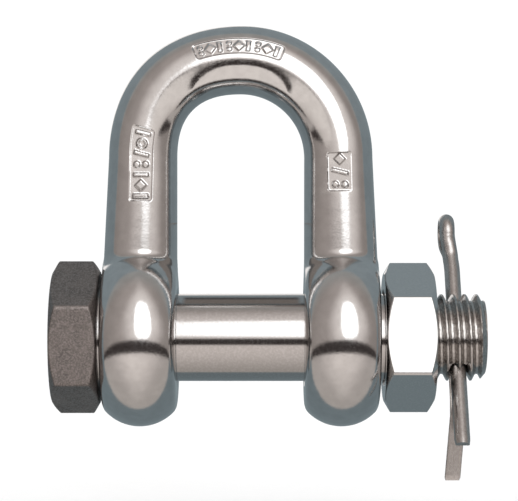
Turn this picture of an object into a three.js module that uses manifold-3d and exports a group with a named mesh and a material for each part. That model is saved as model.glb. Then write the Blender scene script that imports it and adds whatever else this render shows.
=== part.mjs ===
// A bolt-type dee shackle: the bow, its bolt, the nut and the cotter pin that locks the nut.
// Millimetres. X runs along the bolt with its head at -X, Z points up to the crown, and the origin is the
// middle of the bolt's axis between the two ears.

import * as THREE from 'three';
import { mergeVertices } from 'three/addons/utils/BufferGeometryUtils.js';
import Module from 'manifold-3d';

const wasm = await Module();
wasm.setup();

// ---- driving dimensions ----

const jawHalf = 13.85;              // half the clear width between the legs
const boltRadius = 9.525;           // a 3/4 inch bolt
const boreRadius = 10.3;            // the ear's bore, drilled with clearance

const bow = {
  crownCentre: 39.3,                // height where the crown's arcs are centred
  crownOuter: 28.8,                 // radius of the crown's outer arc
  leftShoulder: 0.9,                // how far the crown's left side stands out beyond its arc
  legDepth: 7.6,                    // half the bar's size across the bow's plane
  legWidening: 0.0493,              // how much the leg's outer edge moves out for each mm down
  legEnd: 4.0,                      // height where the leg's bar stops inside the ear
  legFoot: 22.0,                    // the sections' middle moves from the leg's to the ear's
  earTop: 12.0,                     // between these two heights
  earFace: 30.1,                    // the machined outer face
  earRadius: 19.4,
  earCrowning: 10.25,               // radius of the ear's rim across its width, like a barrel's
  earRim: 0.9,                      // rounding between that rim and the flat faces
  fillet: 1.4,                      // blend between leg and ear
};

// The hexagons are chamfered on both ends; turnDeg turns a flat's outward side below level.
const chamferDeg = 30;
const faceShare = 0.98;             // the flat end circle's size as a share of the hexagon's flats
const head = { inner: -30.7, outer: -40.9, acrossFlats: 29.2, turnDeg: 5 };
const nut = { inner: 31.2, outer: 42.1, acrossFlats: 28.4, turnDeg: -3.8, bore: 9.9, mouth: 10.6 };
const thread = {
  start: 40.4, end: 53.2, pitch: 2.54, root: 8.0,
  tipChamfer: 1.4, tipSlope: 1.2,   // the first turns taper down towards the end
  flat: 0.12, flank: 1.35,          // the crest's flat and the steepness of the groove's sides
};
const underHead = { radius: 11.6, height: 0.45 };

const cotter = {
  x: 47.1,                          // where the hole crosses the bolt
  tiltDeg: 33,                      // the hole leans back from upright
  holeRadius: 2.3,
  strand: 1.72,                     // radius of each half-round strand
  split: 0.12,                      // half the gap between the two flat sides
  eyeStart: 20.2,                   // where the strands part above the bolt
  eyeTop: 31.6,
  eyeHalf: 4.2,
  flareDeg: 38,                     // how far the eye's ring closes past its half circle
  eyeDrift: -0.85,                  // how far the eye strays along the bolt,
  driftStart: 17,                   // from this far along the hole
  shortTip: -26.7,
  bendStart: -12.5,                 // where the long leg is bent away
  bendRadius: 9,
  bendDeg: 40,                      // how far the long leg is bent away from the short one
  longTip: -30.6,                   // height of the long leg's end
  longDrift: -1.4,                  // how far that end strays along the bolt
  driftAtBend: 0.25,                // the share of it reached by the bend's end
};

const segments = { ring: 36, crown: 22, bolt: 40, threadStep: 7 };

// ---- helpers ----

const TAU = 2 * Math.PI;
const radians = (degrees) => degrees * Math.PI / 180;

/** A smooth step from 0 at a to 1 at b. */
function smooth(a, b, x) {
  const t = Math.min(1, Math.max(0, (x - a) / (b - a)));
  return t * t * (3 - 2 * t);
}

/** The larger of two numbers, with a fillet of the given size where they cross. */
function smoothMax(a, b, size) {
  const h = Math.max(size - Math.abs(a - b), 0) / size;
  return Math.max(a, b) + h * h * size / 4;
}

/** The smaller of two numbers, with a fillet of the given size where they cross. */
const smoothMin = (a, b, size) => -smoothMax(-a, -b, size);

/** A closed body through a row of rings, with a flat fan over each end. */
function loft(rings) {
  const count = rings[0].length;
  const points = rings.flat();
  const index = [];
  for (let i = 0; i + 1 < rings.length; i++) {
    for (let j = 0; j < count; j++) {
      const a = i * count + j;
      const b = i * count + (j + 1) % count;
      index.push(a, b, b + count, a, b + count, a + count);
    }
  }
  const caps = [[rings[0], 0, false], [rings.at(-1), (rings.length - 1) * count, true]];
  for (const [ring, first, isLast] of caps) {
    const middle = ring.reduce((sum, p) => sum.add(p), new THREE.Vector3()).divideScalar(count);
    points.push(middle);
    for (let j = 0; j < count; j++) {
      const a = first + j;
      const b = first + (j + 1) % count;
      index.push(points.length - 1, ...(isLast ? [a, b] : [b, a]));
    }
  }
  const geometry = new THREE.BufferGeometry().setFromPoints(points);
  geometry.setIndex(index);
  return geometry;
}

/** A turned body: [x, radius] pairs along the bolt, the first and last on the axis. */
function turned(profile, sides = segments.bolt) {
  const outline = profile.map(([x, r]) => new THREE.Vector2(r, x));
  const geometry = new THREE.LatheGeometry(outline, sides);
  return geometry.rotateZ(-Math.PI / 2);
}

function toSolid(geometry) {
  const bare = geometry.clone();
  bare.deleteAttribute('normal');
  bare.deleteAttribute('uv');
  const merged = mergeVertices(bare, 1e-4);
  const mesh = new wasm.Mesh({
    numProp: 3,
    vertProperties: new Float32Array(merged.attributes.position.array),
    triVerts: new Uint32Array(merged.index.array),
  });
  return new wasm.Manifold(mesh);
}

function toMesh(name, solid, material) {
  const { vertProperties, triVerts } = solid.getMesh();
  const geometry = new THREE.BufferGeometry();
  geometry.setAttribute('position', new THREE.BufferAttribute(new Float32Array(vertProperties), 3));
  geometry.setIndex(new THREE.BufferAttribute(new Uint32Array(triVerts), 1));
  geometry.computeVertexNormals();
  const mesh = new THREE.Mesh(geometry, material);
  mesh.name = name;
  return mesh;
}

// ---- bow ----

const earMiddle = (jawHalf + bow.earFace) / 2;
const earHalf = (bow.earFace - jawHalf) / 2;

/** The leg's outer edge at height z, as a distance from the middle plane. */
function legOuter(z) {
  return Math.min(bow.crownOuter + bow.legWidening * (bow.crownCentre - z), bow.earFace);
}

/** Distance outside the bow's +X side: a round leg, filleted into a barrel-shaped ear with flat faces. */
function sideShape(x, y, z) {
  const legMiddle = (jawHalf + legOuter(z)) / 2;
  const legHalf = (legOuter(z) - jawHalf) / 2;
  const bar = (Math.hypot((x - legMiddle) / legHalf, y / bow.legDepth) - 1) * bow.legDepth;
  const leg = Math.max(bar, bow.legEnd - z);
  const across = x - earMiddle;
  const beyond = Math.max(Math.hypot(y, z) - bow.earRadius + bow.earCrowning, 0);
  const rim = Math.hypot(across, beyond) - bow.earCrowning;
  const face = Math.abs(across) - earHalf;
  const ear = smoothMax(rim, face, bow.earRim);
  return Math.max(smoothMin(leg, ear, bow.fillet), face);
}

/** A ring across the leg or ear on the +X side at height z, found by halving along rays from its middle. */
function legRing(z) {
  const toEar = smooth(bow.legFoot, bow.earTop, z);
  const middle = (jawHalf + legOuter(z)) / 2 * (1 - toEar) + earMiddle * toEar;
  const chin = Math.max(0, -z - bow.earRadius + bow.earCrowning);
  const half = Math.min(Math.sqrt(bow.earCrowning ** 2 - chin ** 2), earHalf);
  const disc = Math.sqrt(Math.max(0, bow.earRadius ** 2 - z * z));
  const depth = z > 0 ? Math.hypot(bow.legDepth, disc) : disc;
  const farthest = 1.7;
  const halvings = 30;
  return ringAngles().map((a) => {
    let inside = 0;
    let outside = farthest;
    for (let i = 0; i < halvings; i++) {
      const t = (inside + outside) / 2;
      if (sideShape(middle + t * half * Math.cos(a), t * depth * Math.sin(a), z) < 0) inside = t;
      else outside = t;
    }
    return new THREE.Vector3(middle + inside * half * Math.cos(a), inside * depth * Math.sin(a), z);
  });
}

/** A ring across the crown, at an angle from +X about the crown's centre. */
function crownRing(turn) {
  const onLeft = turn > Math.PI / 2;
  const shoulder = onLeft ? bow.leftShoulder * Math.sin(2 * turn) ** 2 : 0;
  const middle = (bow.crownOuter + jawHalf) / 2 + shoulder;
  const half = (bow.crownOuter - jawHalf) / 2;
  return ringAngles().map((a) => {
    const r = middle + half * Math.cos(a);
    const z = bow.crownCentre + r * Math.sin(turn);
    return new THREE.Vector3(r * Math.cos(turn), bow.legDepth * Math.sin(a), z);
  });
}

function ringAngles() {
  return Array.from({ length: segments.ring }, (_, i) => TAU * i / segments.ring);
}

/** Heights for the rings of one leg, from the ear's lowest point up, closer where it curves. */
function legHeights() {
  const heights = [];
  const chinSteps = 12;
  for (let i = 0.5; i < chinSteps; i++) {
    heights.push(-bow.earRadius * Math.cos(Math.PI / 2 * i / chinSteps));
  }
  for (let z = 1.5; z < 15; z += 2.7) heights.push(z);
  for (let z = 15; z < 22; z += 0.7) heights.push(z);
  for (let z = 22; z < bow.crownCentre - 1; z += 3) heights.push(z);
  return heights;
}

function makeBow() {
  const right = legHeights().map(legRing);
  const crown = Array.from({ length: segments.crown + 1 }, (_, i) => crownRing(Math.PI * i / segments.crown));
  // The left leg mirrors the right one; each ring is taken the other way so the loft doesn't twist.
  const mirrored = (p) => new THREE.Vector3(-p.x, p.y, p.z);
  const left = right.map((ring) => ring.map(mirrored)).reverse();
  const reach = bow.earFace + 5;
  const bore = turned([[-reach, 0], [-reach, boreRadius], [reach, boreRadius], [reach, 0]]);
  return toSolid(loft([...right, ...crown, ...left])).subtract(toSolid(bore));
}

// ---- bolt and nut ----

/** A hexagonal prism along X with both ends turned down to a cone. */
function hexagon({ inner, outer, acrossFlats, turnDeg }) {
  const from = Math.min(inner, outer);
  const to = Math.max(inner, outer);
  const corner = acrossFlats / 2 / Math.cos(Math.PI / 6);
  const prism = new THREE.CylinderGeometry(corner, corner, to - from, 6);
  // The cylinder's corners start at +Z, so one of its flats already faces forwards.
  prism.rotateZ(-Math.PI / 2).rotateX(radians(turnDeg)).translate((from + to) / 2, 0, 0);
  const face = acrossFlats / 2 * faceShare;
  const reach = corner + 0.5;
  const drop = (reach - face) * Math.tan(radians(chamferDeg));
  const cone = [[from, 0], [from, face], [from + drop, reach], [to - drop, reach], [to, face], [to, 0]];
  return toSolid(prism).intersect(toSolid(turned(cone, 48)));
}

/** The threaded end: rings whose radius rises and falls along a right-hand helix. */
function threadedEnd() {
  const step = thread.pitch / segments.threadStep;
  const steps = Math.round((thread.end - thread.start) / step);
  const rings = [];
  for (let i = 0; i <= steps; i++) {
    const x = thread.start + (thread.end - thread.start) * i / steps;
    const tip = boltRadius - Math.max(0, thread.tipChamfer - (thread.end - x)) * thread.tipSlope;
    const ring = [];
    for (let j = 0; j < segments.bolt; j++) {
      const a = TAU * j / segments.bolt;
      // The helix climbs one pitch for each turn from +Y towards +Z.
      const phase = (x / thread.pitch - a / TAU) % 1;
      const fromCrest = Math.abs(((phase % 1) + 1) % 1 - 0.5) * 2;
      const groove = Math.min(1, Math.max(0, (1 - fromCrest) * thread.flank - thread.flat));
      const r = Math.min(tip, boltRadius - 0.03 - (boltRadius - thread.root) * groove);
      ring.push(new THREE.Vector3(x, r * Math.cos(a), r * Math.sin(a)));
    }
    rings.push(ring);
  }
  return loft(rings);
}

const tilt = radians(cotter.tiltDeg);
/** The hole's direction across the bolt, pointing to the cotter pin's eye. */
const cotterUp = new THREE.Vector3(0, Math.sin(tilt), Math.cos(tilt));
/** The direction across the cotter pin, from its long leg towards its short one. */
const cotterFront = new THREE.Vector3(0, -Math.cos(tilt), Math.sin(tilt));

function makeBolt() {
  const shankProfile = [
    [head.inner - 0.5, 0], [head.inner - 0.5, boltRadius],
    [thread.start, boltRadius], [thread.start + 0.05, boltRadius - 0.4], [thread.start + 0.05, 0],
  ];
  const collarProfile = [
    [head.inner - 0.5, 0], [head.inner - 0.5, underHead.radius],
    [head.inner + underHead.height, underHead.radius], [head.inner + underHead.height, 0],
  ];
  const hole = new THREE.CylinderGeometry(cotter.holeRadius, cotter.holeRadius, 4 * boltRadius, 24);
  hole.applyQuaternion(new THREE.Quaternion().setFromUnitVectors(new THREE.Vector3(0, 1, 0), cotterUp));
  hole.translate(cotter.x, 0, 0);
  return hexagon(head)
    .add(toSolid(turned(shankProfile)))
    .add(toSolid(turned(collarProfile)))
    .add(toSolid(threadedEnd()))
    .subtract(toSolid(hole));
}

function makeNut() {
  const sink = nut.mouth - nut.bore;
  const bore = [
    [nut.inner - 1, 0], [nut.inner - 1, nut.mouth + 1], [nut.inner + sink, nut.bore],
    [nut.outer - sink, nut.bore], [nut.outer + 1, nut.mouth + 1], [nut.outer + 1, 0],
  ];
  return hexagon(nut).subtract(toSolid(turned(bore)));
}

// ---- cotter pin ----

/**
 * Where the wire runs: v along the hole, u across it, the direction of the wire's round side,
 * and the drift along the bolt.
 */
function cotterRoute() {
  const c = cotter;
  const legSteps = [-9, 0, 9, c.driftStart, c.eyeStart];
  const route = [];
  // The short leg, in front, from its cut tip up to the eye.
  for (const v of [c.shortTip, -18, ...legSteps]) {
    route.push({ v, u: c.split, out: 0, drift: c.eyeDrift * smooth(c.driftStart, c.eyeTop - c.eyeHalf, v) });
  }
  // The eye: a ring with the wire's flat side inwards, joined to the legs by a short flare.
  const inside = c.eyeHalf - c.strand;
  const centre = c.eyeTop - c.strand - inside;
  const flare = radians(c.flareDeg);
  const steps = 14;
  for (let i = 0; i <= steps; i++) {
    const a = -flare + (Math.PI + 2 * flare) * i / steps;
    route.push({ v: centre + inside * Math.sin(a), u: inside * Math.cos(a), out: a, drift: c.eyeDrift });
  }
  for (const v of legSteps.toReversed()) {
    const above = c.eyeDrift * smooth(c.driftStart, c.eyeTop - c.eyeHalf, v);
    const below = c.longDrift * c.driftAtBend * smooth(0, c.bendStart, v);
    route.push({ v, u: -c.split, out: Math.PI, drift: above + below });
  }
  // The long leg, bent away from the short one below the bolt.
  const bend = radians(c.bendDeg);
  const bendSteps = 4;
  for (let i = 0; i <= bendSteps; i++) {
    const a = bend * i / bendSteps;
    const v = c.bendStart - c.bendRadius * Math.sin(a);
    const u = -c.split - c.bendRadius * (1 - Math.cos(a));
    route.push({ v, u, out: Math.PI - a, drift: c.longDrift * c.driftAtBend });
  }
  const last = route.at(-1);
  const height = last.v * cotterUp.z + last.u * cotterFront.z;
  const fall = Math.cos(bend) * cotterUp.z + Math.sin(bend) * cotterFront.z;
  const rest = (height - c.longTip) / fall;
  route.push({
    v: last.v - rest * Math.cos(bend),
    u: last.u - rest * Math.sin(bend),
    out: Math.PI - bend,
    drift: c.longDrift,
  });
  return route;
}

function makeCotter() {
  const arc = 8;
  const rings = cotterRoute().map(({ v, u, out, drift }) => {
    const ring = [];
    for (let i = 0; i <= arc; i++) {
      const a = -Math.PI / 2 + Math.PI * i / arc;
      const outwards = cotter.strand * Math.cos(a);
      const across = u + Math.cos(out) * outwards;
      const along = v + Math.sin(out) * outwards;
      const point = new THREE.Vector3(cotter.x + drift + cotter.strand * Math.sin(a), 0, 0);
      point.addScaledVector(cotterFront, across).addScaledVector(cotterUp, along);
      ring.push(point);
    }
    return ring;
  });
  return toSolid(loft(rings));
}

// ---- assembly ----

const polished = new THREE.MeshStandardMaterial({ color: 0xb4b2ae, metalness: 1, roughness: 0.16 });
const scaled = new THREE.MeshStandardMaterial({ color: 0x6b635f, metalness: 0.85, roughness: 0.6 });
const wire = new THREE.MeshStandardMaterial({ color: 0xa09a95, metalness: 1, roughness: 0.28 });

const shackle = new THREE.Group();
shackle.add(toMesh('bow', makeBow(), polished));
shackle.add(toMesh('bolt', makeBolt(), scaled));
shackle.add(toMesh('nut', makeNut(), polished.clone()));
shackle.add(toMesh('cotter_pin', makeCotter(), wire));

export default shackle;
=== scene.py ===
"""The looks of a bolt-type dee shackle: dense forged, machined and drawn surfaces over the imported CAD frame.

X runs along the bolt (head at -X, nut at +X), Z points up to the crown, and the viewer stands on the -Y side.
Shapes are worked out in millimetres, in the CAD's own frame, and turned into metres when a mesh is made.
"""

import math

import bpy
import numpy as np
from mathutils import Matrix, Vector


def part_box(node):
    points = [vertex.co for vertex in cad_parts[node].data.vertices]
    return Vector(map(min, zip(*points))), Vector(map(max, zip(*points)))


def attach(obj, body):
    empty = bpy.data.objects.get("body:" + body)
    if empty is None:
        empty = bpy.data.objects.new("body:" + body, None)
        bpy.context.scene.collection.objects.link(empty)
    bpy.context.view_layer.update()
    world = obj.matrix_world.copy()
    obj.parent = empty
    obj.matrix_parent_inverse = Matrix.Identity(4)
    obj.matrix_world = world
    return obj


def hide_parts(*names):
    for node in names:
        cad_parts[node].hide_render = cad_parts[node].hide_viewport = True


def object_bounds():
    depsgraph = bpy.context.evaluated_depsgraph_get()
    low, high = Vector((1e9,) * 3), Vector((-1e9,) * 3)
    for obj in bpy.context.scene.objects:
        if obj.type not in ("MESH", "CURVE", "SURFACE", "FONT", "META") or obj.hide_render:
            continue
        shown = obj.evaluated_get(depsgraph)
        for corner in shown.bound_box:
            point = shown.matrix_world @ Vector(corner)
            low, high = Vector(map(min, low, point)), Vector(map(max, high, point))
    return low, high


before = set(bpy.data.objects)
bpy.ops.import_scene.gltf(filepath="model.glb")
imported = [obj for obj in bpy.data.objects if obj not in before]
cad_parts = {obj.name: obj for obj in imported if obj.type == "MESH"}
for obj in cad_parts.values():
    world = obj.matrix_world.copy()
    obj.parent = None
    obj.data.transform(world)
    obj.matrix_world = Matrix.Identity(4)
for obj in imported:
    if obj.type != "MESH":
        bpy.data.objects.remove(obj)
cad_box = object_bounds()

MM = 0.001
TAU = 2 * math.pi


def node_box(node):
    """The lowest and highest corners of a CAD node, in millimetres."""
    return [np.array(corner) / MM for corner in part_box(node)]


# ---- driving dimensions, in millimetres unless they say otherwise ----

JAW_HALF = 13.85                    # half the clear width between the legs
LEG_DEPTH = 7.6                     # half the bar's size across the bow's plane
LEG_WIDENING = 0.0493               # how much the leg's outer edge moves out for each step down
LEG_END = 4.0                       # how low the round leg runs on inside the ear
LEG_FOOT = 22.0                     # the height where the leg starts to turn into the ear
EAR_TOP = 12.0                      # the height where the section is all ear
CROWN_OUTER = 28.8                  # radius of the crown's outer arc
CROWN_CENTRE = node_box("bow")[1][2] - CROWN_OUTER
CROWN_MIDDLE = (CROWN_OUTER + JAW_HALF) / 2
LEFT_SHOULDER = 0.9                 # how far the hand-bent left shoulder stands out
EAR_FACE = 30.1
EAR_MIDDLE = (JAW_HALF + EAR_FACE) / 2
EAR_HALF = (EAR_FACE - JAW_HALF) / 2
EAR_RADIUS = 19.4
EAR_CROWNING = 10.25                # radius of the ear's barrel-shaped rim across its width
EAR_RIM = 0.9                       # rounding between the rim and the flat faces
EAR_FILLET = 1.4
BORE_RADIUS = 10.3
BORE_CHAMFER = 0.5

BOLT_RADIUS = 9.525
HEAD_OUTER, THREAD_END = (corner[0] for corner in node_box("bolt"))
HEAD_INNER = -30.7
HEAD_FLATS = 29.2
HEAD_TURN = 5                       # degrees that the front flat looks down
HEAD_EDGE = 0.55                    # rounding of the edges between the flats
HEAD_ROUNDING = 0.4                 # rounding between the end faces and the chamfers
NUT_INNER, NUT_OUTER = (corner[0] for corner in node_box("nut"))
NUT_FLATS = 28.4
NUT_TURN = -3.8
NUT_EDGE = 0.28
NUT_ROUNDING = 0.25
NUT_MOUTH = 11.4                    # radius at which the nut's end faces start
NUT_SINK = 10.7                     # radius of its countersinks
NUT_CLEARANCE = 0.22                # between its thread and the bolt's
NUT_GROOVE = 0.35                   # depth of the thread in its bore
CHAMFER = math.radians(30)          # of both hexagons
FACE_SHARE = 0.98                   # an end face's width, as a share of the width across the flats

COLLAR_RADIUS = 11.6                # the low collar under the head
COLLAR_HEIGHT = 0.45
SHANK_FILLET = 0.3
THREAD_START = 40.4
PITCH = 2.54
ROOT_RADIUS = 8.0
CREST_WEAR = 0.04
CREST_SHARE = 0.13                  # half the flat crest, as a share of half the pitch
FLANK_SHARE = 0.68                  # a flank, as a share of half the pitch
FLANK_ROUNDING = 0.35               # how much of the flank's shape is rounded and not straight
TIP_CHAMFER = 1.35
TIP_SLOPE = 1.15                    # how fast the chamfer narrows
TIP_ROUNDING = 0.2

COTTER_X = 47.1
COTTER_TILT = math.radians(33)      # how far the pin's top leans back
COTTER_HOLE = 2.3                   # radius of the cross hole
HOLE_LIP = 0.5                      # how much wider the hole is where it leaves the thread
HOLE_FLARE = 2.6                    # how much wider it is outside the bolt
STRAND = 1.72                       # radius of each half-round strand
STRAND_EDGE = 0.22                  # rounding of its two edges
SPLIT = 0.12                        # half the gap between the strands' flat sides
EYE_START = 20.2                    # where the strands part above the bolt
EYE_TOP = 31.6
EYE_HALF = 4.2
EYE_FLARE = math.radians(38)        # how far the eye's arc runs past a half circle at each end
EYE_DRIFT = -0.85                   # how far the eye strays along the bolt
DRIFT_START = 17.0
SHORT_TIP = -26.7
BEND_START = -12.5
BEND_RADIUS = 9.0
BEND = math.radians(40)
LONG_TIP = node_box("cotter_pin")[0][2]
LONG_DRIFT = -1.4
BEND_DRIFT = 0.25 * LONG_DRIFT      # how far the long leg has strayed by its bend

# ---- how finely the meshes are divided: points round a ring, rings along a piece, steps in millimetres ----

PANEL_REACH = math.radians(36)      # how far round the bar's front the close points go
PANEL_ANGLE = math.radians(0.95)    # between them
BACK_POINTS = 84                    # round the rest of the bar
PANEL_STEP = 0.15
CHIN_RINGS = 48
EAR_STEP = 0.5
FOOT_START = 13                     # the height where the rings of the leg's foot start
FOOT_STEP = 0.15
LEG_STEP = 0.6
CROWN_RINGS = 110
BORE_POINTS = 144
HEX_POINTS = 432
FACE_RINGS = 14
CHAMFER_RINGS = 34
BODY_RINGS = 16
NUT_BORE_RINGS = 150
THREAD_POINTS = 288
THREAD_STEP = 0.1
SHANK_POINTS = 192
SHANK_RINGS = 90
HOLE_POINTS = 72

# ---- camera, in millimetres ----

CAMERA_DISTANCE = 457.0
CAMERA_SIDE = 4.0
CAMERA_HEIGHT = 19.0
FIELD_WIDTH = 113.3                 # width of the view at the bolt's axis
FLOOR_DROP = 14.0

# ---- light ----

STEEL_REFLECTS = 0.62               # the share of light that polished stainless steel gives back
SOFTBOX_HEADING = 15.0              # degrees to the viewer's right
SOFTBOX_HEIGHT = 25.0               # degrees above level
SOFTBOX_HALF = (21.5, 24.5)         # degrees
SOFTBOX_LIGHT = (2.3, 2.3, 2.3)
BACKDROP = (1.04, 1.04, 1.04)
# Cards that only reflections see, in millimetres: half-width, near and far edges in Y, and height.
SHELF = (260, -7.8, -600, 31)
ARCH = (12, -8.4, -500, 50)
CANOPY = (13, -2, 12, 25)


# ---- mesh helpers ----


def smooth(low, high, value):
    """A smooth step from 0 at low to 1 at high."""
    t = np.clip((value - low) / (high - low), 0, 1)
    return t * t * (3 - 2 * t)


def soft_max(a, b, size):
    """The larger of two values, with a fillet of the given size where they cross."""
    h = np.maximum(size - np.abs(a - b), 0) / size
    return np.maximum(a, b) + h * h * size / 4


def soft_min(a, b, size):
    return -soft_max(-a, -b, size)


def make_object(name, points, faces, material):
    mesh = bpy.data.meshes.new(name)
    mesh.from_pydata((np.asarray(points) * MM).tolist(), [], faces)
    mesh.materials.append(material)
    mesh.validate()
    obj = bpy.data.objects.new(name, mesh)
    bpy.context.scene.collection.objects.link(obj)
    return obj


def grid_object(name, rings, material, loop=False):
    """A closed body through rings of points; loop joins the last ring to the first, else both are capped."""
    rings = np.asarray(rings)
    rows, count, _ = rings.shape
    points = rings.reshape(-1, 3)
    faces = []
    for i in range(rows if loop else rows - 1):
        here = i * count
        there = (i + 1) % rows * count
        for j in range(count):
            k = (j + 1) % count
            faces.append((here + j, here + k, there + k, there + j))
    if not loop:
        points = np.vstack([points, rings[0].mean(axis=0), rings[-1].mean(axis=0)])
        first, last = rows * count, (rows - 1) * count
        for j in range(count):
            k = (j + 1) % count
            faces.append((first, k, j))
            faces.append((first + 1, last + j, last + k))
    return make_object(name, points, faces, material)


def shade(obj, sharp_degrees):
    """Smooth shading with a crisp line wherever two faces meet at more than the given angle."""
    obj.data.shade_smooth()
    obj.data.set_sharp_from_angle(angle=math.radians(sharp_degrees))


def cut(obj, cutter):
    """Cuts the closed cutter out of obj, and removes it."""
    modifier = obj.modifiers.new("cut", "BOOLEAN")
    modifier.object = cutter
    modifier.operation = "DIFFERENCE"
    modifier.solver = "MANIFOLD"
    graph = bpy.context.evaluated_depsgraph_get()
    mesh = bpy.data.meshes.new_from_object(obj.evaluated_get(graph))
    obj.modifiers.clear()
    obj.data = mesh
    bpy.data.objects.remove(cutter)


def full_circle(count):
    """Evenly spaced angles for one turn."""
    return np.arange(count) * TAU / count


def axis_ring(x, radius, angles):
    """A ring round the X axis; radius is one number, or one for each angle."""
    return np.stack([np.full_like(angles, x), radius * np.cos(angles), radius * np.sin(angles)], axis=-1)


def turned_rings(x, radius, count):
    """Rings round the X axis, one for each pair of x and radius."""
    angles = full_circle(count)
    return [axis_ring(at, reach, angles) for at, reach in zip(x, radius)]


# ---- raised marks in sunk panels ----
# Each shape is a signed distance in millimetres: below zero inside. p runs along the bar and q across it.


def box_shape(p, q, p0, q0, half_p, half_q, corner=0.2, turn=0.0):
    c, s = math.cos(turn), math.sin(turn)
    along = (p - p0) * c + (q - q0) * s
    across = (q - q0) * c - (p - p0) * s
    dp = np.abs(along) - (half_p - corner)
    dq = np.abs(across) - (half_q - corner)
    outside = np.hypot(np.maximum(dp, 0), np.maximum(dq, 0))
    return outside + np.minimum(np.maximum(dp, dq), 0) - corner


def dot_shape(p, q, p0, q0, radius):
    return np.hypot(p - p0, q - q0) - radius


def ring_shape(p, q, p0, q0, radius, half_width):
    return np.abs(np.hypot(p - p0, q - q0) - radius) - half_width


def diamond_shape(p, q, p0, q0, half):
    return (np.abs(p - p0) + np.abs(q - q0) - half) / math.sqrt(2)


class Panel:
    """A sunk panel with a flat floor and raised marks: ticks, dots, diamonds and rings, which say nothing."""

    WALL = 0.32                     # how wide the panel's sloping wall is
    CORNER = 0.5                    # rounding of its corners
    RELIEF = 0.46                   # how high the marks stand from the floor
    MARK_FOOT = 0.12                # how far outside a mark's outline its slope starts
    MARK_TOP = -0.26                # and how far inside it ends

    def __init__(self, p0, p1, q0, q1, sink, marks, lean=0.0):
        self.p0, self.p1, self.q0, self.q1 = p0, p1, q0, q1
        self.sink = sink
        self.marks = marks
        self.lean = lean            # how much the floor comes forward for each mm across

    def floor(self, q, surface):
        """The floor's depth, on a line between the bar's depths at the panel's two long edges."""
        edge0, edge1 = surface(self.q0), surface(self.q1)
        level = edge0 + (edge1 - edge0) * (q - self.q0) / (self.q1 - self.q0) + self.sink
        return level - self.lean * (q - (self.q0 + self.q1) / 2)

    def sunk(self, p, q, y, surface):
        """The new depth of points at p, q and depth y; surface(q) is the bar's own depth at a q."""
        middle_p, middle_q = (self.p0 + self.p1) / 2, (self.q0 + self.q1) / 2
        half_p, half_q = (self.p1 - self.p0) / 2, (self.q1 - self.q0) / 2
        outline = box_shape(p, q, middle_p, middle_q, half_p, half_q, self.CORNER)
        inside = smooth(self.WALL / 2, -self.WALL / 2, outline)
        raised = np.zeros_like(y)
        for mark in self.marks:
            raised = np.maximum(raised, smooth(self.MARK_FOOT, self.MARK_TOP, mark(p, q)))
        depth = np.maximum(self.floor(q, surface) - self.RELIEF * raised, y)
        return y + (depth - y) * inside


# Each maker gives the shapes of one mark at p0 and q0; reach is half the room across the panel.

TICK_HALF = 0.46                    # half a tick's width
TICK_SLANT = math.radians(14)
DOT_RADIUS = 0.74
DIAMOND_HALF = 1.35
RING_RADIUS = 0.9
RING_HALF = 0.32                    # half the width of the ring's line


def tick(p0, q0, reach, half=TICK_HALF, turn=0.0):
    return [lambda p, q: box_shape(p, q, p0, q0, half, reach, turn=turn)]


def slanted_tick(p0, q0, reach):
    return tick(p0, q0, reach, turn=TICK_SLANT)


def dots(p0, q0, apart, radius):
    """Two dots, each at the given distance from the middle."""
    return [
        lambda p, q: dot_shape(p, q, p0, q0 - apart, radius),
        lambda p, q: dot_shape(p, q, p0, q0 + apart, radius),
    ]


def two_dots(p0, q0, reach):
    return dots(p0, q0, reach * 0.55, DOT_RADIUS)


def diamond(p0, q0, reach):
    return [lambda p, q: diamond_shape(p, q, p0, q0, min(DIAMOND_HALF, reach))]


def ring(p0, q0, reach):
    return [lambda p, q: ring_shape(p, q, p0, q0, min(RING_RADIUS, reach * 0.7), RING_HALF)]


# ---- bow ----
# p is the way along the bar's middle line from the right ear up, over the crown and down to the left ear.
# On the right leg p equals the height. The left leg's p counts on past the crown.

CROWN_TOP_P = CROWN_CENTRE + CROWN_MIDDLE * math.pi / 2
FULL_P = CROWN_CENTRE * 2 + CROWN_MIDDLE * math.pi

LEG_SINK = 0.16
LEG_MARGIN = 0.75                   # between the marks and the panel's long edges
RIGHT_PANEL = (31.9, 40.1)          # heights of its ends
RIGHT_PANEL_HALF = 2.6              # half its width
RIGHT_PANEL_LEAN = 0.07
LEFT_PANEL = (29.7, 45.4)
LEFT_PANEL_HALF = 2.45

CROWN_SINK = 0.2
CROWN_MARGIN = 1.2                  # between the row's end marks and the panel's ends
CROWN_PANEL_REACH = 8.6             # half its length
CROWN_PANEL_HALF = 1.65             # half its width
CROWN_PANEL_Q = 2.5
CROWN_PANEL_P = CROWN_TOP_P + 0.3
CROWN_MARKS = 9
CROWN_TICK = (1.15, 0.42)           # half its length and half its width
CROWN_DIAMOND = 1.2
CROWN_DOTS = (0.62, 0.52)           # each dot's distance from the middle, and its radius


def leg_panel(p0, p1, half_q, makers, lean=0.0):
    """A panel down the middle of a leg, with a mark from each maker spread evenly along it."""
    step = (p1 - p0) / len(makers)
    marks = []
    for i, make in enumerate(makers):
        marks += make(p1 - step * (i + 0.5), 0.0, half_q - LEG_MARGIN)
    return Panel(p0, p1, -half_q, half_q, LEG_SINK, marks, lean)


def crown_marks():
    """A row of upright ticks, diamonds and dots along the crown's panel."""
    reach = CROWN_PANEL_REACH - CROWN_MARGIN
    marks = []
    for i, place in enumerate(np.linspace(-reach, reach, CROWN_MARKS)):
        p0 = CROWN_PANEL_P + place
        if i % 3 == 0:
            marks += tick(p0, CROWN_PANEL_Q, *CROWN_TICK)
        elif i % 3 == 1:
            marks += diamond(p0, CROWN_PANEL_Q, CROWN_DIAMOND)
        else:
            marks += dots(p0, CROWN_PANEL_Q, *CROWN_DOTS)
    return marks


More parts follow.
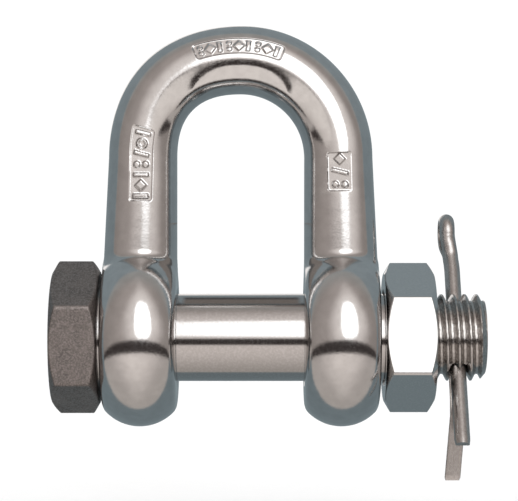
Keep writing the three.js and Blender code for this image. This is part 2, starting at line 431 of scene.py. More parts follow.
def bow_panels():
    right = leg_panel(*RIGHT_PANEL, RIGHT_PANEL_HALF, [diamond, slanted_tick, two_dots], RIGHT_PANEL_LEAN)
    left_makers = [tick, diamond, tick, two_dots, slanted_tick, ring, tick]
    left = leg_panel(FULL_P - LEFT_PANEL[1], FULL_P - LEFT_PANEL[0], LEFT_PANEL_HALF, left_makers)
    low, high = CROWN_PANEL_P - CROWN_PANEL_REACH, CROWN_PANEL_P + CROWN_PANEL_REACH
    inner, outer = CROWN_PANEL_Q - CROWN_PANEL_HALF, CROWN_PANEL_Q + CROWN_PANEL_HALF
    return [right, left, Panel(low, high, inner, outer, CROWN_SINK, crown_marks())]


def leg_outer(z):
    """The leg's outer edge at height z, as a distance from the middle plane."""
    return min(CROWN_OUTER + LEG_WIDENING * (CROWN_CENTRE - z), EAR_FACE)


def side_shape(x, y, z):
    """Signed distance to one side of the bow: a round leg, filleted into a barrel-shaped, flat-faced ear."""
    middle = (JAW_HALF + leg_outer(z)) / 2
    half = (leg_outer(z) - JAW_HALF) / 2
    leg = (np.hypot((x - middle) / half, y / LEG_DEPTH) - 1) * LEG_DEPTH
    leg = np.maximum(leg, LEG_END - z)
    across = x - EAR_MIDDLE
    from_axis = np.hypot(y, z)
    rim = np.hypot(across, np.maximum(from_axis - EAR_RADIUS + EAR_CROWNING, 0)) - EAR_CROWNING
    face = np.abs(across) - EAR_HALF
    ear = soft_max(rim, face, EAR_RIM)
    return np.maximum(soft_min(leg, ear, EAR_FILLET), face)


def side_section(z, angles):
    """The section of the bow's right side at height z: its middle, and x and y round it from there."""
    to_ear = float(smooth(LEG_FOOT, EAR_TOP, z))
    middle = (JAW_HALF + leg_outer(z)) / 2 * (1 - to_ear) + EAR_MIDDLE * to_ear
    below = max(0, abs(z) - EAR_RADIUS + EAR_CROWNING) if z < 0 else 0
    half = min(math.sqrt(EAR_CROWNING**2 - below**2), EAR_HALF)
    ear_depth = math.sqrt(max(0, EAR_RADIUS**2 - z * z))
    depth = math.hypot(LEG_DEPTH, ear_depth) if z > 0 else ear_depth
    along, across = half * np.cos(angles), depth * np.sin(angles)
    # The surface is found by halving, between the middle and well outside it.
    low, high = np.zeros_like(angles), np.full_like(angles, 1.7)
    halvings = 34
    for _ in range(halvings):
        t = (low + high) / 2
        inside = side_shape(middle + along * t, across * t, z) < 0
        low = np.where(inside, t, low)
        high = np.where(inside, high, t)
    return middle, along * low, across * low


def bow_angles():
    """Angles round the bar, close together on the front, where the panels are."""
    fine = np.arange(-PANEL_REACH, PANEL_REACH, PANEL_ANGLE)
    coarse = np.linspace(PANEL_REACH, TAU - PANEL_REACH, BACK_POINTS, endpoint=False)
    return np.concatenate([fine, coarse]) - math.pi / 2


def bow_stations(panels):
    """The p of every ring, close together on the panels and where the leg meets the ear."""
    chin = [-EAR_RADIUS * math.cos(math.pi / 2 * i / CHIN_RINGS) for i in range(1, CHIN_RINGS)]
    ear = np.arange(0, FOOT_START, EAR_STEP)
    foot = np.arange(FOOT_START, LEG_FOOT, FOOT_STEP)
    leg = np.arange(LEG_FOOT, CROWN_CENTRE, LEG_STEP)
    half = np.concatenate([chin, ear, foot, leg])
    crown = CROWN_CENTRE + CROWN_MIDDLE * math.pi * np.linspace(0, 1, CROWN_RINGS)
    p = np.concatenate([half, crown, FULL_P - half])
    for panel in panels:
        low, high = panel.p0 - 0.5, panel.p1 + 0.5
        p = p[(p < low) | (p > high)]
        p = np.concatenate([p, np.arange(low, high, PANEL_STEP)])
    return np.sort(p)


def press_panels(p, q, y, half, panels):
    """Presses the panels that lie at p into the front of a ring on a bar of the given half width."""
    def bar_front(at):
        return -LEG_DEPTH * math.sqrt(max(0, 1 - (at / half) ** 2))

    for panel in panels:
        if panel.p0 - 1 < p < panel.p1 + 1:
            y = np.where(y < 0, panel.sunk(p, q, y, bar_front), y)
    return y


def leg_ring(p, angles, panels):
    side = 1 if p <= CROWN_CENTRE else -1
    z = p if side > 0 else FULL_P - p
    middle, q, y = side_section(z, angles)
    y = press_panels(p, q, y, (leg_outer(z) - JAW_HALF) / 2, panels)
    return np.stack([side * (middle + q), y, np.full_like(q, z)], axis=-1)


def crown_ring(p, angles, panels):
    half = (CROWN_OUTER - JAW_HALF) / 2
    q, y = half * np.cos(angles), LEG_DEPTH * np.sin(angles)
    y = press_panels(p, q, y, half, panels)
    turn = (p - CROWN_CENTRE) / CROWN_MIDDLE
    bulge = LEFT_SHOULDER * math.sin(2 * turn) ** 2 if turn > math.pi / 2 else 0
    r = CROWN_MIDDLE + bulge + q
    return np.stack([r * math.cos(turn), y, CROWN_CENTRE + r * math.sin(turn)], axis=-1)


def bore_cutter(material):
    """The hole through both ears, with a small chamfer at each of its four mouths."""
    wide = BORE_RADIUS + BORE_CHAMFER
    right = [
        (JAW_HALF, wide),
        (JAW_HALF + BORE_CHAMFER, BORE_RADIUS),
        (EAR_FACE - BORE_CHAMFER, BORE_RADIUS),
        (EAR_FACE, wide),
        (EAR_FACE + 5, wide),
    ]
    left = [(-x, radius) for x, radius in reversed(right)]
    x, radius = zip(*left, *right)
    return grid_object("bore", turned_rings(x, radius, BORE_POINTS), material)


def make_bow(material):
    panels = bow_panels()
    angles = bow_angles()
    rings = []
    for p in bow_stations(panels):
        on_leg = p <= CROWN_CENTRE or p >= FULL_P - CROWN_CENTRE
        rings.append((leg_ring if on_leg else crown_ring)(p, angles, panels))
    bow = grid_object("bow_forging", rings, material)
    cut(bow, bore_cutter(material))
    shade(bow, 35)
    return bow


# ---- hexagons ----


def hex_radius(angles, across_flats, turn, edge):
    """Distance from the axis to a hexagon's side at each angle, with its edges rounded."""
    # Angle 0 is +Y, so a flat that faces -Y has its middle at half a turn.
    relative = angles - math.pi - math.radians(turn)
    nowhere = 1e3
    distance = np.full_like(angles, nowhere)
    for k in range(6):
        cosine = np.cos(relative - k * math.pi / 3)
        # A side is only reached by the angles that face it.
        reach = np.where(cosine > 0.2, across_flats / 2 / np.maximum(cosine, 0.2), nowhere)
        distance = soft_min(distance, reach, edge)
    return distance


def hex_profile(low, high, across_flats, rounding):
    """x and radius from the middle of the low end, out over its chamfer, to the middle of the high end."""
    face = across_flats / 2 * FACE_SHARE
    reach = across_flats / 2 / math.cos(math.pi / 6) + 0.5
    rise = (reach - face) * math.tan(CHAMFER)
    half = [(0, r) for r in np.linspace(0.02, face - rounding, FACE_RINGS)]
    flattened = 0.35                # the rounding is this much shallower than it is wide
    for a in (math.pi / 2 * i / 5 for i in range(1, 5)):
        half.append((rounding * (1 - math.cos(a)) * flattened, face - rounding + rounding * math.sin(a)))
    half += [(rise * t, face + (reach - face) * t) for t in np.linspace(0.02, 1, CHAMFER_RINGS)]
    body = np.linspace(low + rise, high - rise, BODY_RINGS)[1:-1]
    x = [low + dx for dx, _ in half] + list(body) + [high - dx for dx, _ in half[::-1]]
    radii = [radius for _, radius in half]
    return np.array(x), np.array(radii + [reach] * len(body) + radii[::-1])


def hex_rings(x, radius, across_flats, turn, edge, angles):
    """The rings of a hexagon where a turned profile cuts it: it trims the corners and makes the flat ends."""
    sides = hex_radius(angles, across_flats, turn, edge)
    rings = []
    for at, reach in zip(x, radius):
        r = soft_min(np.full_like(angles, reach), sides, edge * 0.8)
        r = np.where(reach < across_flats / 2 - edge, reach, r)
        rings.append(axis_ring(at, r, angles))
    return rings


def make_head(material):
    x, radius = hex_profile(HEAD_OUTER, HEAD_INNER, HEAD_FLATS, HEAD_ROUNDING)
    rings = hex_rings(x, radius, HEAD_FLATS, HEAD_TURN, HEAD_EDGE, full_circle(HEX_POINTS))
    head = grid_object("bolt_head", rings, material)
    shade(head, 40)
    return head


def make_nut(material):
    angles = full_circle(HEX_POINTS)
    x, radius = hex_profile(NUT_INNER, NUT_OUTER, NUT_FLATS, NUT_ROUNDING)
    outside = radius > NUT_MOUTH
    rings = hex_rings(x[outside], radius[outside], NUT_FLATS, NUT_TURN, NUT_EDGE, angles)
    # Back through the bore: a countersink at each end and the thread's grooves between them.
    for at in np.linspace(NUT_OUTER, NUT_INNER, NUT_BORE_RINGS):
        sink = NUT_SINK - min(NUT_OUTER - at, at - NUT_INNER)
        wall = BOLT_RADIUS + NUT_CLEARANCE + NUT_GROOVE * thread_groove(at, angles)
        rings.append(axis_ring(at, np.maximum(sink, wall), angles))
    nut = grid_object("nut_body", rings, material, loop=True)
    shade(nut, 40)
    return nut


# ---- bolt ----

CORE = 0.5                          # radius at which the shank's hidden ends close


def thread_groove(x, angles):
    """How deep the right-hand thread's groove is: 0 on a crest and 1 at the root."""
    phase = np.mod(x / PITCH - angles / TAU, 1.0)
    from_crest = 1 - np.abs(phase - 0.5) * 2
    # A 60 degree flank between a narrow flat crest and a rounded root.
    flank = (from_crest - CREST_SHARE) / FLANK_SHARE
    return smooth(-0.05, 1.05, flank) * FLANK_ROUNDING + np.clip(flank, 0, 1) * (1 - FLANK_ROUNDING)


def make_thread(material):
    angles = full_circle(THREAD_POINTS)
    crest = BOLT_RADIUS - CREST_WEAR
    rings = []
    for x in np.arange(THREAD_START, THREAD_END + 1e-6, THREAD_STEP):
        tip = BOLT_RADIUS - max(0, TIP_CHAMFER - (THREAD_END - x)) * TIP_SLOPE
        r = crest - (crest - ROOT_RADIUS) * thread_groove(x, angles)
        rings.append(axis_ring(x, soft_min(r, np.full_like(angles, tip), TIP_ROUNDING), angles))
    # The tip's end face, very slightly domed.
    last = rings[-1]
    for share, dome in ((0.97, 0.03), (0.8, 0.05), (0.5, 0.05), (0.2, 0.05)):
        rings.append(last * [1, share, share] + [dome, 0, 0])
    thread = grid_object("bolt_thread", rings, material)
    cut(thread, cotter_hole(material))
    shade(thread, 38)
    return thread


def make_shank(material):
    """The plain shank and the collar under the head; its ends are hidden in the head and the thread."""
    buried, collar, end = HEAD_INNER - 1, HEAD_INNER + COLLAR_HEIGHT, THREAD_START + 0.6
    fillet_x, fillet_r = collar + SHANK_FILLET, BOLT_RADIUS + SHANK_FILLET
    profile = [(buried, CORE), (buried, COLLAR_RADIUS), (collar, COLLAR_RADIUS), (collar, fillet_r)]
    for a in np.linspace(0, math.pi / 2, 5):
        profile.append((fillet_x - SHANK_FILLET * math.cos(a), fillet_r - SHANK_FILLET * math.sin(a)))
    profile += [(x, BOLT_RADIUS) for x in np.linspace(HEAD_INNER + 0.9, end, SHANK_RINGS)]
    profile.append((end, CORE))
    x, radius = zip(*profile)
    shank = grid_object("bolt_shank", turned_rings(x, radius, SHANK_POINTS), material)
    shade(shank, 40)
    return shank


# ---- cotter pin ----
# v runs up the pin and u towards the viewer, both square to the bolt. A station on the wire's route is v, u,
# the direction that its round side faces, and how far it has strayed along the bolt.

COTTER_UP = np.array([0, math.sin(COTTER_TILT), math.cos(COTTER_TILT)])
COTTER_FRONT = np.array([0, -math.cos(COTTER_TILT), math.sin(COTTER_TILT)])


def cotter_hole(material):
    """A cutter for the cross hole, flared a little at both mouths."""
    lip, flare = COTTER_HOLE + HOLE_LIP, COTTER_HOLE + HOLE_FLARE
    top = [(BOLT_RADIUS + 3, flare), (BOLT_RADIUS - 0.1, lip), (BOLT_RADIUS - 0.9, COTTER_HOLE)]
    bottom = [(-height, radius) for height, radius in reversed(top)]
    angles = full_circle(HOLE_POINTS)
    rings = []
    for height, radius in top + bottom:
        ring_points = np.outer(np.sin(angles) * radius, COTTER_FRONT) + COTTER_UP * height
        ring_points[:, 0] += np.cos(angles) * radius + COTTER_X
        rings.append(ring_points)
    return grid_object("cross_hole", rings, material)


def drift_at(v):
    """How far a straight strand strays along the bolt at v, on its way to the eye."""
    return EYE_DRIFT * float(smooth(DRIFT_START, EYE_TOP - EYE_HALF, v))


def eased(a, b, steps=10):
    """Stations between two others, easing from one to the other."""
    stations = []
    for t in np.linspace(0, 1, steps + 2)[1:-1]:
        s = float(smooth(0, 1, t))
        rest = [here + (there - here) * s for here, there in zip(a[1:], b[1:])]
        stations.append((a[0] + (b[0] - a[0]) * t, *rest))
    return stations


def eye_route():
    """Round the eye, from the short leg's side to the long leg's."""
    radius = EYE_HALF - STRAND
    centre = EYE_TOP - STRAND - radius
    turns = np.linspace(-EYE_FLARE, math.pi + EYE_FLARE, 60)
    return [(centre + radius * math.sin(a), radius * math.cos(a), a, EYE_DRIFT) for a in turns]


def long_leg_route():
    """Down the long leg: straight through the bolt, round its bend, and straight on to its tip."""
    route = []
    for v in np.linspace(EYE_START, BEND_START, 34):
        drift = drift_at(v) + BEND_DRIFT * float(smooth(0, BEND_START, v))
        route.append((v, -SPLIT, math.pi, drift))
    for a in np.linspace(0, BEND, 14)[1:]:
        v = BEND_START - BEND_RADIUS * math.sin(a)
        u = -SPLIT - BEND_RADIUS * (1 - math.cos(a))
        route.append((v, u, math.pi - a, BEND_DRIFT))
    v, u, out, drift = route[-1]
    height = v * COTTER_UP[2] + u * COTTER_FRONT[2]
    fall = math.cos(BEND) * COTTER_UP[2] + math.sin(BEND) * COTTER_FRONT[2]
    for t in np.linspace(0, 1, 22)[1:]:
        gone = (height - LONG_TIP) / fall * t
        strayed = drift + (LONG_DRIFT - drift) * t
        route.append((v - gone * math.cos(BEND), u - gone * math.sin(BEND), out, strayed))
    return route


def cotter_route():
    """The stations from the short leg's tip, up and round the eye, to the long leg's tip."""
    short_leg = [(v, SPLIT, 0.0, drift_at(v)) for v in np.linspace(SHORT_TIP, EYE_START, 40)]
    eye = eye_route()
    long_leg = long_leg_route()
    return short_leg + eased(short_leg[-1], eye[0]) + eye + eased(eye[-1], long_leg[0]) + long_leg


def wire_section():
    """The half-round wire's outline as outwards and sideways, with its two edges rounded."""
    quarter = math.pi / 2
    roll = STRAND_EDGE * 0.9
    side = STRAND - STRAND_EDGE
    outline = []
    for a in np.linspace(-quarter + 0.14, quarter - 0.14, 17):
        outline.append((STRAND * math.cos(a), STRAND * math.sin(a)))
    for a in np.linspace(quarter - 0.3, math.pi, 5):
        outline.append((STRAND_EDGE + roll * math.cos(a), side + roll * math.sin(a)))
    for share in np.linspace(0.85, -0.85, 9):
        outline.append((0.0, side * share))
    for a in np.linspace(math.pi, 3 * quarter + 0.3, 5):
        outline.append((STRAND_EDGE + roll * math.cos(a), -side + roll * math.sin(a)))
    return np.array(outline)


def wire_ring(station, outline):
    v, u, out, drift = station
    across = u + math.cos(out) * outline[:, 0]
    along = v + math.sin(out) * outline[:, 0]
    ring_points = np.outer(across, COTTER_FRONT) + np.outer(along, COTTER_UP)
    ring_points[:, 0] += COTTER_X + drift + outline[:, 1]
    return ring_points


def make_cotter(material):
    section = wire_section()
    route = cotter_route()
    rings = [wire_ring(station, section) for station in route]
    # The cut ends are a little smaller, so that their rims look rounded.
    middle = np.array([STRAND * 0.42, 0.0])
    end = middle + (section - middle) * 0.88
    for i in (0, -1):
        rings[i] = wire_ring(route[i], end)
    pin = grid_object("cotter_wire", rings, material)
    shade(pin, 50)
    return pin


# ---- materials ----


class Nodes:
    """A node tree with short ways to add and join nodes."""

    def __init__(self, tree):
        self.tree = tree

    def add(self, kind, **inputs):
        node = self.tree.nodes.new(kind)
        for name, value in inputs.items():
            self.set(node, name, value)
        return node

    def set(self, node, name, value):
        """Joins an output to an input, or sets the input; name is the input's name or its number."""
        socket = node.inputs[name]
        if isinstance(value, bpy.types.NodeSocket):
            self.tree.links.new(value, socket)
        else:
            socket.default_value = value

    def math(self, operation, a, b=0.0):
        node = self.tree.nodes.new("ShaderNodeMath")
        node.operation = operation
        self.set(node, 0, a)
        self.set(node, 1, b)
        return node.outputs[0]

    def plus(self, a, b):
        return self.math("ADD", a, b)

    def minus(self, a, b):
        return self.math("SUBTRACT", a, b)

    def times(self, a, b):
        return self.math("MULTIPLY", a, b)

    def over(self, a, b):
        return self.math("DIVIDE", a, b)

    def power(self, a, b):
        return self.math("POWER", a, b)

    def size(self, a):
        return self.math("ABSOLUTE", a)

    def degrees(self, a, b):
        """The angle whose tangent is a over b."""
        return self.times(self.math("ARCTAN2", a, b), 180 / math.pi)

    def step(self, value, low, high, to_low=0.0, to_high=1.0):
        """A smooth step of value from low, which may be the larger one, to high."""
        node = self.tree.nodes.new("ShaderNodeMapRange")
        node.interpolation_type = "SMOOTHSTEP"
        if low > high:
            low, high, to_low, to_high = high, low, to_high, to_low
        self.set(node, "Value", value)
        self.set(node, "From Min", low)
        self.set(node, "From Max", high)
        self.set(node, "To Min", to_low)
        self.set(node, "To Max", to_high)
        return node.outputs["Result"]

    def mix(self, factor, a, b):
        """A mix of two colours."""
        node = self.tree.nodes.new("ShaderNodeMix")
        node.data_type = "RGBA"
        self.set(node, 0, factor)
        for number, value in ((6, a), (7, b)):
            self.set(node, number, value if isinstance(value, bpy.types.NodeSocket) else (*value, 1.0))
        return node.outputs[2]

    def noise(self, coordinates, scale_mm, detail=3.0, roughness=0.5):
        """Noise whose features are about scale_mm across."""
        node = self.add("ShaderNodeTexNoise", Vector=coordinates)
        node.inputs["Scale"].default_value = 1 / (scale_mm * MM)
        node.inputs["Detail"].default_value = detail
        node.inputs["Roughness"].default_value = roughness
        return node.outputs["Fac"]

    def stretched(self, coordinates, x, y, z):
        node = self.add("ShaderNodeMapping", Vector=coordinates)
        node.inputs["Scale"].default_value = (x, y, z)
        return node.outputs["Vector"]

    def bump(self, shader, layers):
        """Gives a shader bump layers: each is (height, how far it rises in mm)."""
        for height, rise in layers:
            bump = self.add("ShaderNodeBump", Height=height)
            bump.inputs["Strength"].default_value = 1.0
            bump.inputs["Distance"].default_value = rise * MM
            for link in shader.inputs["Normal"].links:
                self.set(bump, "Normal", link.from_socket)
            self.set(shader, "Normal", bump.outputs["Normal"])


def new_material(name):
    material = bpy.data.materials.new(name)
    material.use_nodes = True
    nodes = Nodes(material.node_tree)
    shader = material.node_tree.nodes["Principled BSDF"]
    coordinates = nodes.add("ShaderNodeTexCoord").outputs["Object"]
    return material, nodes, shader, coordinates


def new_metal(name):
    material, nodes, shader, coordinates = new_material(name)
    shader.inputs["Metallic"].default_value = 1.0
    return material, nodes, shader, coordinates


def polished_forging():
    """Electropolished stainless: bright, faintly uneven from the forging, with fine pits."""
    material, nodes, shader, at = new_metal("polished_forging")
    waves = nodes.noise(at, 2.6, 2.0)
    grain = nodes.noise(at, 0.35, 3.0)
    tone = nodes.mix(nodes.step(waves, 0.35, 0.65), (0.595, 0.585, 0.58), (0.64, 0.63, 0.625))
    nodes.set(shader, "Base Color", tone)
    nodes.set(shader, "Roughness", nodes.step(grain, 0.3, 0.75, 0.085, 0.16))
    nodes.bump(shader, [(waves, 0.010), (grain, 0.0055)])
    return material


def machined_shank():
    """A ground and polished shank with faint rings from the lathe."""
    material, nodes, shader, at = new_metal("machined_shank")
    rings = nodes.noise(nodes.stretched(at, 1.0, 0.01, 0.01), 0.12, 2.0)
    pits = nodes.noise(at, 0.5, 2.0)
    tone = nodes.mix(nodes.step(pits, 0.4, 0.7), (0.50, 0.485, 0.475), (0.545, 0.53, 0.525))
    nodes.set(shader, "Base Color", tone)
    nodes.set(shader, "Roughness", nodes.step(rings, 0.3, 0.7, 0.09, 0.17))
    nodes.bump(shader, [(rings, 0.0005), (pits, 0.0022)])
    return material


def rough_head():
    """The bolt's head as it was forged and blasted: dull, dark and grainy."""
    material, nodes, shader, at = new_metal("rough_head")
    patches = nodes.noise(at, 3.0, 4.0)
    grain = nodes.noise(at, 0.42, 4.0, 0.65)
    base = nodes.mix(nodes.step(patches, 0.3, 0.7), (0.17, 0.155, 0.15), (0.24, 0.215, 0.205))
    tone = nodes.mix(nodes.step(grain, 0.35, 0.7), base, (0.36, 0.325, 0.31))
    nodes.set(shader, "Base Color", tone)
    nodes.set(shader, "Roughness", nodes.step(grain, 0.3, 0.8, 0.55, 0.38))
    nodes.bump(shader, [(patches, 0.03), (grain, 0.045)])
    return material


def polished_nut():
    """The nut's polished flats, brighter and flatter than the forging."""
    material, nodes, shader, at = new_metal("polished_nut")
    waves = nodes.noise(at, 3.2, 2.0)
    pits = nodes.noise(at, 0.4, 3.0)
    tone = nodes.mix(nodes.step(pits, 0.35, 0.7), (0.61, 0.605, 0.60), (0.65, 0.645, 0.64))
    nodes.set(shader, "Base Color", tone)
    nodes.set(shader, "Roughness", nodes.step(pits, 0.3, 0.75, 0.10, 0.20))
    nodes.bump(shader, [(waves, 0.006), (pits, 0.003)])
    return material


def cut_thread():
    """The thread's flanks, with the small tears and burrs that a cutting die leaves."""
    material, nodes, shader, at = new_metal("cut_thread")
    tears = nodes.noise(at, 0.5, 4.0, 0.6)
    waves = nodes.noise(at, 1.6, 2.0)
    tone = nodes.mix(nodes.step(tears, 0.35, 0.7), (0.42, 0.40, 0.385), (0.56, 0.54, 0.525))
    nodes.set(shader, "Base Color", tone)
    nodes.set(shader, "Roughness", nodes.step(tears, 0.3, 0.75, 0.14, 0.26))
    nodes.bump(shader, [(waves, 0.008), (tears, 0.0014)])
    return material


def drawn_wire():
    """Satin drawn wire, with fine lines along it."""
    material, nodes, shader, at = new_metal("drawn_wire")
    lines = nodes.noise(nodes.stretched(at, 1.0, 0.06, 0.06), 0.16, 3.0)
    spots = nodes.noise(at, 0.6, 3.0)
    tone = nodes.mix(nodes.step(spots, 0.35, 0.7), (0.47, 0.445, 0.43), (0.55, 0.53, 0.515))
    nodes.set(shader, "Base Color", tone)
    nodes.set(shader, "Roughness", nodes.step(lines, 0.3, 0.7, 0.22, 0.34))
    nodes.bump(shader, [(lines, 0.0015), (spots, 0.004)])
    return material


def pale_floor():
    material, nodes, shader, at = new_material("pale_floor")
    paper = nodes.noise(at, 4.0, 3.0)
    nodes.set(shader, "Base Color", nodes.mix(paper, (0.97, 0.97, 0.97), (1.0, 1.0, 1.0)))
    shader.inputs["Roughness"].default_value = 0.9
    shader.inputs["Specular IOR Level"].default_value = 0.0
    return material


# ---- studio ----
# The room is painted by direction: x, y and z are the direction's own, heading is in degrees to the viewer's
# right, and height is the angle over the plane that faces the viewer: 0 level, 90 overhead, 180 behind.


def srgb(level):
    """A screen grey or colour out of 255 as light."""
    level = np.asarray(level, dtype=float) / 255
    return np.where(level <= 0.04045, level / 12.92, ((level + 0.055) / 1.055) ** 2.4)


def card(red, green, blue):
    """The light of a studio card that the steel shows as the given screen colour."""
    return tuple(float(c) for c in srgb([red, green, blue]) / STEEL_REFLECTS)


def walls(nodes, heading, height, box_side, box_rise):
    """Grey walls, brightest round the softbox and dimmer overhead."""
    apart = nodes.math("SQRT", nodes.plus(nodes.power(box_side, 2.0), nodes.power(box_rise, 2.0)))
    plain = nodes.mix(nodes.step(nodes.size(heading), 30, 95), card(150, 142, 138), card(128, 121, 117))
    lit = nodes.mix(nodes.step(apart, 62, 24), plain, card(206, 199, 195))
    return nodes.mix(nodes.step(height, 68, 98), lit, card(138, 138, 136))


def table(nodes, heading, height):
    """A light table, palest near the viewer."""
    top = nodes.mix(nodes.step(nodes.size(heading), 8, 80), card(203, 195, 190), card(158, 151, 147))
    return nodes.mix(nodes.step(height, -25, -100), top, card(158, 152, 147))


def in_gap(nodes, heading, z):
    """The dark gap between the walls and the table, which narrows and drops towards the sides."""
    spread = nodes.times(nodes.power(nodes.over(heading, 84.0), 2.0), 0.09)
    half = nodes.minus(0.14, spread)
    drop = nodes.plus(0.16, spread)
    return nodes.step(nodes.minus(nodes.size(nodes.plus(z, drop)), half), 0.03, -0.03)


def in_softbox(nodes, y, box_side, box_rise):
    """The softbox, a square with round corners; only its own side of the room has it."""
    across = nodes.power(nodes.over(box_side, SOFTBOX_HALF[0]), 3.0)
    up = nodes.power(nodes.over(box_rise, SOFTBOX_HALF[1]), 3.0)
    return nodes.times(nodes.step(nodes.plus(across, up), 1.12, 0.85), nodes.step(y, 0.0, -0.1))


def in_paper(nodes, y, z):
    """The grey-blue paper behind, which comes furthest forward level with the part."""
    edge = nodes.minus(nodes.times(nodes.power(z, 2.0), 0.17), nodes.times(z, 0.05))
    return nodes.step(nodes.minus(y, edge), -0.04, 0.05)


def in_window(nodes, x, y, z):
    """A small window above and beside straight behind, which only the views from behind show."""
    towards = nodes.plus(nodes.times(x, -0.2), nodes.times(y, 0.93))
    return nodes.step(nodes.plus(towards, nodes.times(z, 0.31)), 0.955, 0.98)


def make_studio():
    """A pale room: a softbox in front and above, a light table below, a dark gap between, grey behind."""
    world = bpy.data.worlds.new("studio")
    bpy.context.scene.world = world
    world.use_nodes = True
    tree = world.node_tree
    tree.nodes.clear()
    nodes = Nodes(tree)
    direction = nodes.add("ShaderNodeTexCoord").outputs["Generated"]
    x, y, z = nodes.add("ShaderNodeSeparateXYZ", Vector=direction).outputs[:3]
    forward = nodes.times(y, -1.0)
    heading = nodes.degrees(x, forward)
    height = nodes.degrees(z, forward)
    box_side = nodes.size(nodes.minus(heading, SOFTBOX_HEADING))
    box_rise = nodes.size(nodes.minus(height, SOFTBOX_HEIGHT))

    above = walls(nodes, heading, height, box_side, box_rise)
    room = nodes.mix(nodes.step(z, -0.22, -0.27), above, table(nodes, heading, height))
    room = nodes.mix(in_gap(nodes, heading, z), room, card(50, 45, 44))
    room = nodes.mix(in_softbox(nodes, y, box_side, box_rise), room, SOFTBOX_LIGHT)
    paper = nodes.mix(nodes.step(z, -0.6, 0.9), card(101, 111, 115), card(119, 128, 132))
    room = nodes.mix(in_paper(nodes, y, z), room, paper)
    room = nodes.mix(in_window(nodes, x, y, z), room, card(222, 219, 217))

    # The background and the floor's light are plain white, and only mirror reflections see the room.
    path = nodes.add("ShaderNodeLightPath")
    plain = nodes.math("MAXIMUM", path.outputs["Is Camera Ray"], path.outputs["Is Diffuse Ray"])
    background = nodes.add("ShaderNodeBackground", Color=nodes.mix(plain, room, BACKDROP))
    output = nodes.add("ShaderNodeOutputWorld")
    tree.links.new(background.outputs[0], output.inputs["Surface"])


def one_sided(name, paint):
    """A material that glows on its front only; paint(nodes, x, y) gives its colour and where it is."""
    material = bpy.data.materials.new(name)
    material.use_nodes = True
    tree = material.node_tree
    tree.nodes.clear()
    nodes = Nodes(tree)
    at = nodes.add("ShaderNodeTexCoord").outputs["Object"]
    split = nodes.add("ShaderNodeSeparateXYZ", Vector=at)
    x, y = (nodes.over(split.outputs[i], MM) for i in range(2))
    colour, cover = paint(nodes, x, y)
    front = nodes.minus(1.0, nodes.add("ShaderNodeNewGeometry").outputs["Backfacing"])
    mixed = nodes.add("ShaderNodeMixShader")
    nodes.set(mixed, 0, nodes.times(front, cover))
    nodes.set(mixed, 1, nodes.add("ShaderNodeBsdfTransparent").outputs[0])
    nodes.set(mixed, 2, nodes.add("ShaderNodeEmission", Color=colour).outputs[0])
    output = nodes.add("ShaderNodeOutputMaterial")
    nodes.set(output, "Surface", mixed.outputs[0])
    return material


def shelf_paint(nodes, x, y):
    """Pale, with a slate strip and a dark strip along its near edge; a wedge that is narrow near the bow."""
    away = nodes.times(y, -1.0)
    aside = nodes.over(nodes.size(x), away)
    pale = nodes.mix(nodes.step(aside, 0.15, 1.3), card(206, 199, 194), card(166, 158, 153))
    edged = nodes.mix(nodes.step(away, 16, 13.5), pale, card(48, 44, 43))
    colour = nodes.mix(nodes.step(away, 10.8, 9.8), edged, card(104, 110, 112))
    # The wedge keeps its side edges out of the legs' reflections.
    past_wedge = nodes.minus(nodes.size(x), nodes.times(away, 0.8))
    return colour, nodes.step(past_wedge, 8.0, 3.0)


def arch_paint(nodes, x, y):
    """A dark band that comes nearer as it spreads from the middle, which the crown shows as an arch."""
    away = nodes.times(y, -1.0)
    beside = nodes.size(nodes.plus(x, nodes.times(away, 0.009)))
    nearness = nodes.over(1.0, away)
    middle = nodes.plus(0.012, nodes.times(nodes.power(beside, 3.0), 0.000185))
    off = nodes.size(nodes.minus(nearness, middle))
    cover = nodes.times(nodes.step(off, 0.024, 0.018), nodes.step(beside, 8.8, 7.4))
    return (*card(38, 32, 31), 1.0), cover


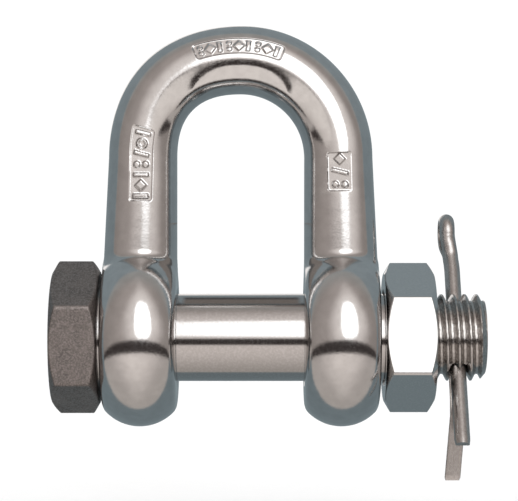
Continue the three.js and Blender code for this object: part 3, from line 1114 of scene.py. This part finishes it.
def canopy_paint(nodes, x, y):
    """A warm grey that turns dark towards the back."""
    return nodes.mix(nodes.step(y, 4.5, 7.5), card(109, 103, 99), card(72, 72, 72)), 1.0


def make_reflector(name, measures, paint):
    """A card for mirror reflections only: it faces up if it runs towards the viewer, and else down."""
    half, near, far, z = measures
    corners = [(-half, near, z), (-half, far, z), (half, far, z), (half, near, z)]
    reflector = make_object(name, corners, [(0, 1, 2, 3)], one_sided(name, paint))
    reflector.visible_camera = False
    reflector.visible_diffuse = False
    reflector.visible_shadow = False


def make_reflectors():
    """A shelf and a dark arch in front of the crown, and a canopy over the shank."""
    make_reflector("shelf", SHELF, shelf_paint)
    make_reflector("arch", ARCH, arch_paint)
    make_reflector("canopy", CANOPY, canopy_paint)


def make_floor():
    below = cad_box[0][2] - FLOOR_DROP * MM
    bpy.ops.mesh.primitive_plane_add(size=6, location=(0, 0, below))
    floor = bpy.context.object
    floor.name = "floor"
    floor.data.materials.append(pale_floor())
    floor.visible_glossy = False


def make_camera():
    data = bpy.data.cameras.new("camera")
    data.sensor_width = 36
    data.lens = data.sensor_width * CAMERA_DISTANCE / FIELD_WIDTH
    data.clip_start = 0.01
    data.clip_end = 20
    camera = bpy.data.objects.new("camera", data)
    camera.location = (CAMERA_SIDE * MM, -CAMERA_DISTANCE * MM, CAMERA_HEIGHT * MM)
    camera.rotation_euler = (math.pi / 2, 0, 0)
    bpy.context.scene.collection.objects.link(camera)
    bpy.context.scene.camera = camera


def set_view():
    view = bpy.context.scene.view_settings
    view.view_transform = "Standard"
    view.look = "None"


# ---- assembly ----


def place(piece, body, node, slot):
    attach(piece, body)
    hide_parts(node)


make_camera()
make_studio()
make_floor()
make_reflectors()
set_view()

place(make_bow(polished_forging()), "bow", "bow", "bow_polished")
place(make_head(rough_head()), "bolt", "bolt", "bolt_steel")
place(make_shank(machined_shank()), "bolt", "bolt", "bolt_steel")
place(make_thread(cut_thread()), "bolt", "bolt", "bolt_steel")
place(make_nut(polished_nut()), "nut", "nut", "nut_polished")
place(make_cotter(drawn_wire()), "cotter", "cotter_pin", "cotter_wire")
